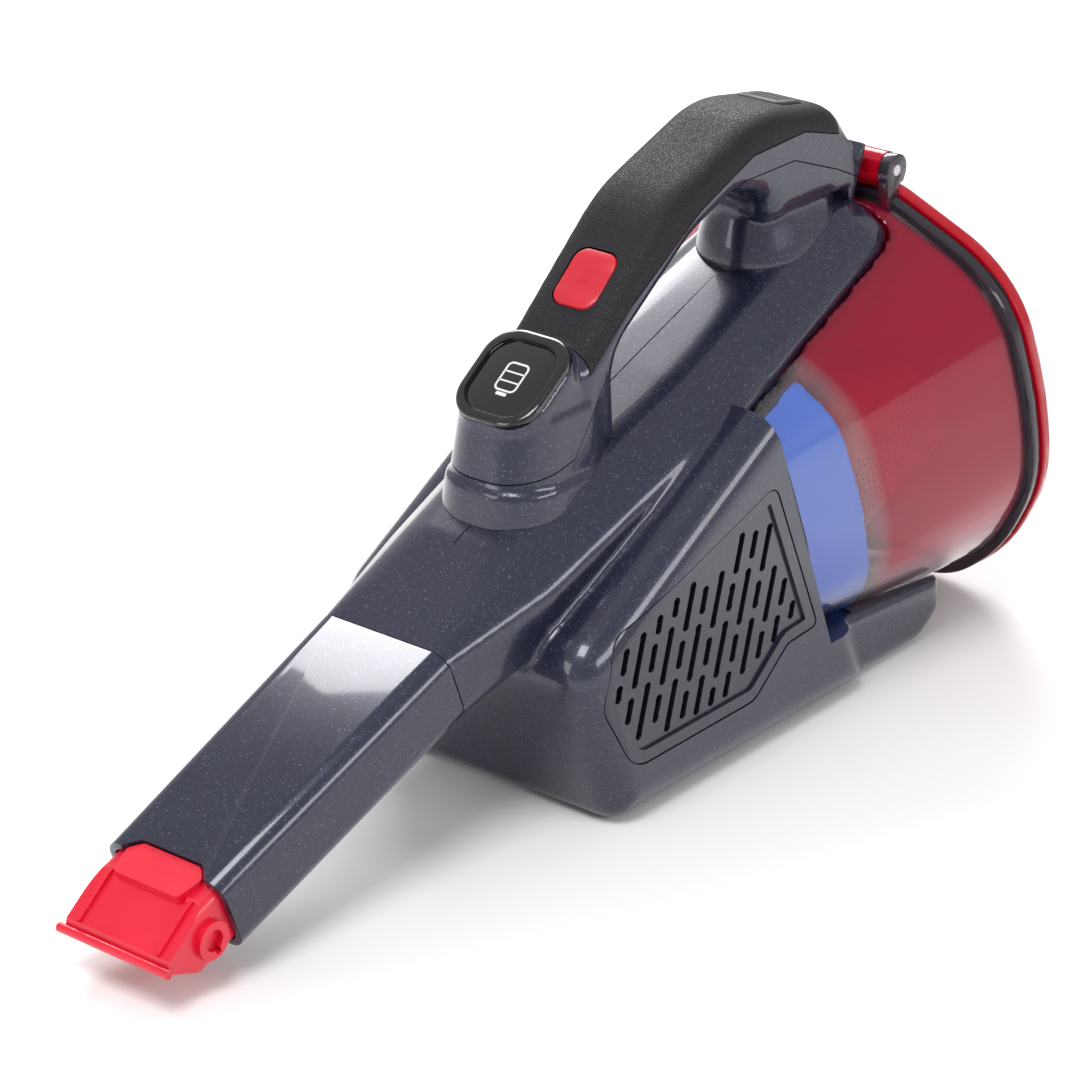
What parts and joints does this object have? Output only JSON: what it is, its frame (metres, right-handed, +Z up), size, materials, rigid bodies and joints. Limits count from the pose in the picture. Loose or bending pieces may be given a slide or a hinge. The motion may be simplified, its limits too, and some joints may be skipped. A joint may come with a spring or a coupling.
{
  "type": "handheld vacuum",
  "caption": "Cordless handheld vacuum with a sloping suction duct, slide-out crevice tool, looped grip, vented motor housing and a wide clear dust bowl with a hinged door.",
  "frame": {"origin": "middle of the flat underside that the vacuum rests on, below the point where the suction axis crosses the middle of the body", "axes": "+X from the nozzle to the dust bowl's door, +Y to the user's left, +Z up"},
  "size_m": [0.434, 0.1576, 0.2131],
  "materials": {
    "body": "fine metallic grain, satin",
    "body_dark": "satin",
    "tool_red": "semi-gloss",
    "button_red": "semi-gloss",
    "soft_grip": "soft, fine grain",
    "black": "satin",
    "display": "polished",
    "spring_steel": "bright",
    "steel": "bright",
    "board": "solder resist",
    "cell": "printed sleeve",
    "motor_can": "satin",
    "light_plastic": "satin",
    "bowl_clear": "smoky clear plastic, gloss",
    "seal": "matte",
    "filter_blue": "satin",
    "pleats": "filter paper",
    "filter_red": "translucent",
    "door_clear": "red-tinted clear plastic, gloss",
    "latch_red": "semi-gloss"
  },
  "bodies": {
    "main": {"nozzle": "body", "body_left": "body", "body_right": "body", "handle_lower": "body", "handle_upper": "body", "soft_grip": "soft_grip", "display_bezel": "black", "display_window": "display", "button_spring": "spring_steel", "switch": "black", "circuit_board": "board", "release_spring": "spring_steel", "vent_panel_left": "body_dark", "vent_panel_right": "body_dark", "base_plate": "black", "charge_inlet": "black", "battery_holder": "black", "cell_front": "cell", "cell_middle": "cell", "cell_rear": "cell", "motor": "motor_can", "motor_mount": "seal", "fan_shroud": "black", "case_screws": "steel"},
    "crevice_tool": {"crevice_tool": "tool_red"},
    "power_button": {"power_button": "button_red"},
    "bowl_release": {"bowl_release": "black"},
    "rotor": {"rotor_shaft": "steel", "fan": "light_plastic"},
    "bowl": {"dust_bowl": "bowl_clear", "inlet_seal": "seal", "filter_frame": "filter_blue", "filter_pleats": "pleats", "filter_seal": "seal", "pre_filter": "filter_red", "hinge_pin": "steel"},
    "intake_flap": {"intake_flap": "seal"},
    "door": {"door": "door_clear", "door_seal": "seal", "latch_spring": "spring_steel"},
    "door_latch": {"door_latch": "latch_red"}
  },
  "joints": [
    {"name": "crevice_tool_slide", "type": "slide", "parent": "main", "child": "crevice_tool", "axis": [-0.9336, 0, -0.3584], "range_m": [0, 0.078]},
    {"name": "power_button_press", "type": "slide", "parent": "main", "child": "power_button", "axis": [0.6428, 0, -0.766], "range_m": [0, 0.0018], "stiffness_N_per_m": 500, "springref_m": -0.001, "deforming": ["button_spring"]},
    {"name": "bowl_release_press", "type": "slide", "parent": "main", "child": "bowl_release", "axis": [-0.1805, 0, -0.9836], "range_m": [0, 0.002], "stiffness_N_per_m": 500, "springref_m": -0.001, "deforming": ["release_spring"]},
    {"name": "rotor_spin", "type": "hinge", "parent": "main", "child": "rotor", "pos_m": [-0.05462, 0, 0.04755], "axis": [0.9336, 0, 0.3584], "continuous": true},
    {"name": "bowl_pull", "type": "slide", "parent": "main", "child": "bowl", "axis": [0.9336, 0, 0.3584], "range_m": [0, 0.13]},
    {"name": "intake_flap_hinge", "type": "hinge", "parent": "bowl", "child": "intake_flap", "pos_m": [0.05225, 0, 0.12354], "axis": [0, 1, 0], "range_deg": [0, 30], "stiffness_Nm_per_rad": 0.002, "springref_deg": -34.38},
    {"name": "door_hinge", "type": "hinge", "parent": "bowl", "child": "door", "pos_m": [0.09264, 0, 0.17795], "axis": [0, -1, 0], "range_deg": [0, 100]},
    {"name": "door_latch_slide", "type": "slide", "parent": "door", "child": "door_latch", "axis": [-0.2588, 0, 0.9659], "range_m": [0, 0.003], "stiffness_N_per_m": 300, "springref_m": -0.002, "deforming": ["latch_spring"]}
  ]
}
